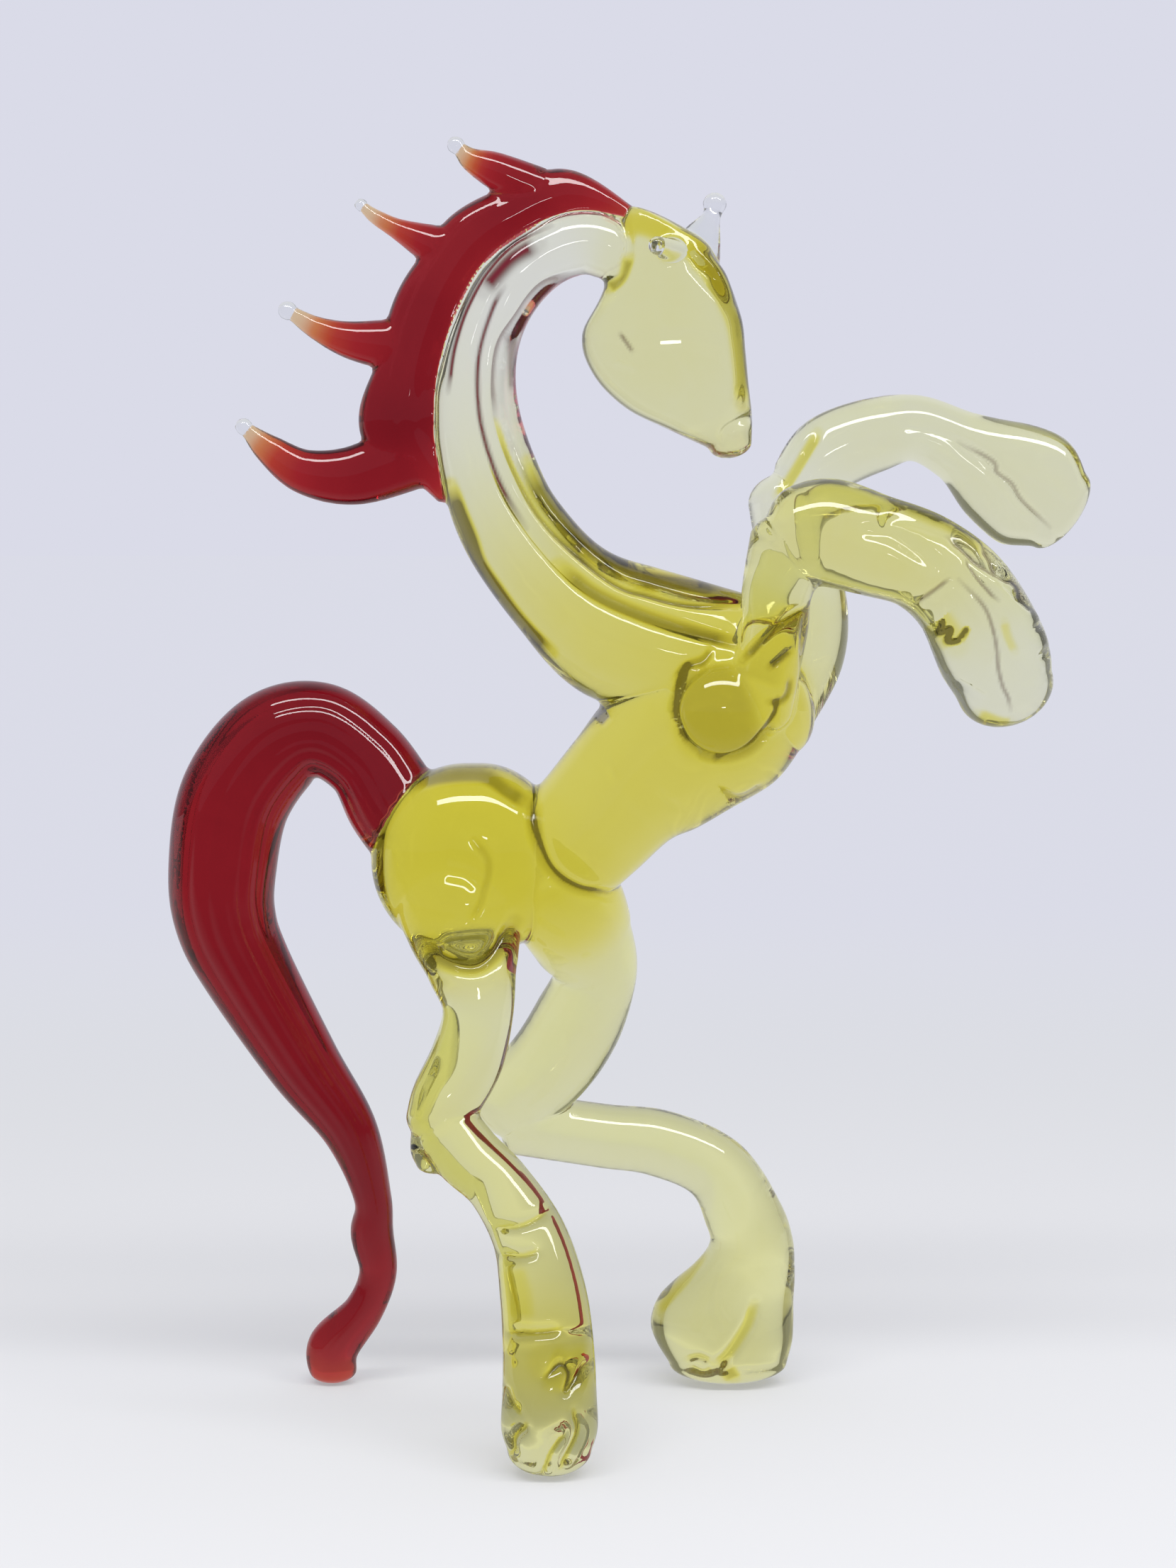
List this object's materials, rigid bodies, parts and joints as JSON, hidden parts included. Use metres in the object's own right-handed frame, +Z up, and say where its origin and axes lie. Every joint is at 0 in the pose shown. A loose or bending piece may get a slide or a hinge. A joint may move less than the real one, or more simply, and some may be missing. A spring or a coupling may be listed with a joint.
{
  "type": "glass horse figurine",
  "caption": "Rearing horse worked in solid straw-yellow glass, with a red glass mane and a red arched tail, standing on its hind hooves and the tail's foot.",
  "frame": {"origin": "on the surface it stands on, under the middle of its bounding box", "axes": "+X the way the horse faces, +Z up, +Y to its far side"},
  "size_m": [0.0827, 0.0372, 0.1135],
  "materials": {
    "amber_glass": "fire polished, transparent deep yellow",
    "straw_glass": "fire polished, transparent pale yellow",
    "clear_glass": "fire polished, colourless",
    "red_glass": "fire polished, transparent deep red"
  },
  "bodies": {
    "root": {"haunch": "amber_glass", "barrel": "amber_glass", "chest": "amber_glass", "neck": "straw_glass", "head": "straw_glass", "near_ear": "clear_glass", "far_ear": "clear_glass", "mane_crest": "red_glass", "mane_lock_1": "red_glass", "mane_lock_2": "red_glass", "mane_lock_3": "red_glass", "mane_lock_4": "red_glass", "mane_tip_1": "clear_glass", "mane_tip_2": "clear_glass", "mane_tip_3": "clear_glass", "mane_tip_4": "clear_glass", "tail": "red_glass", "near_thigh": "straw_glass", "near_hock_spur": "straw_glass", "near_hind_cannon": "straw_glass", "near_hind_hoof": "straw_glass", "far_thigh": "straw_glass", "far_hind_cannon": "straw_glass", "far_hind_hoof": "straw_glass", "near_upper_arm": "straw_glass", "near_forearm": "straw_glass", "near_fore_hoof": "straw_glass", "far_upper_arm": "straw_glass", "far_forearm": "straw_glass", "far_fore_hoof": "straw_glass"}
  },
  "joints": []
}
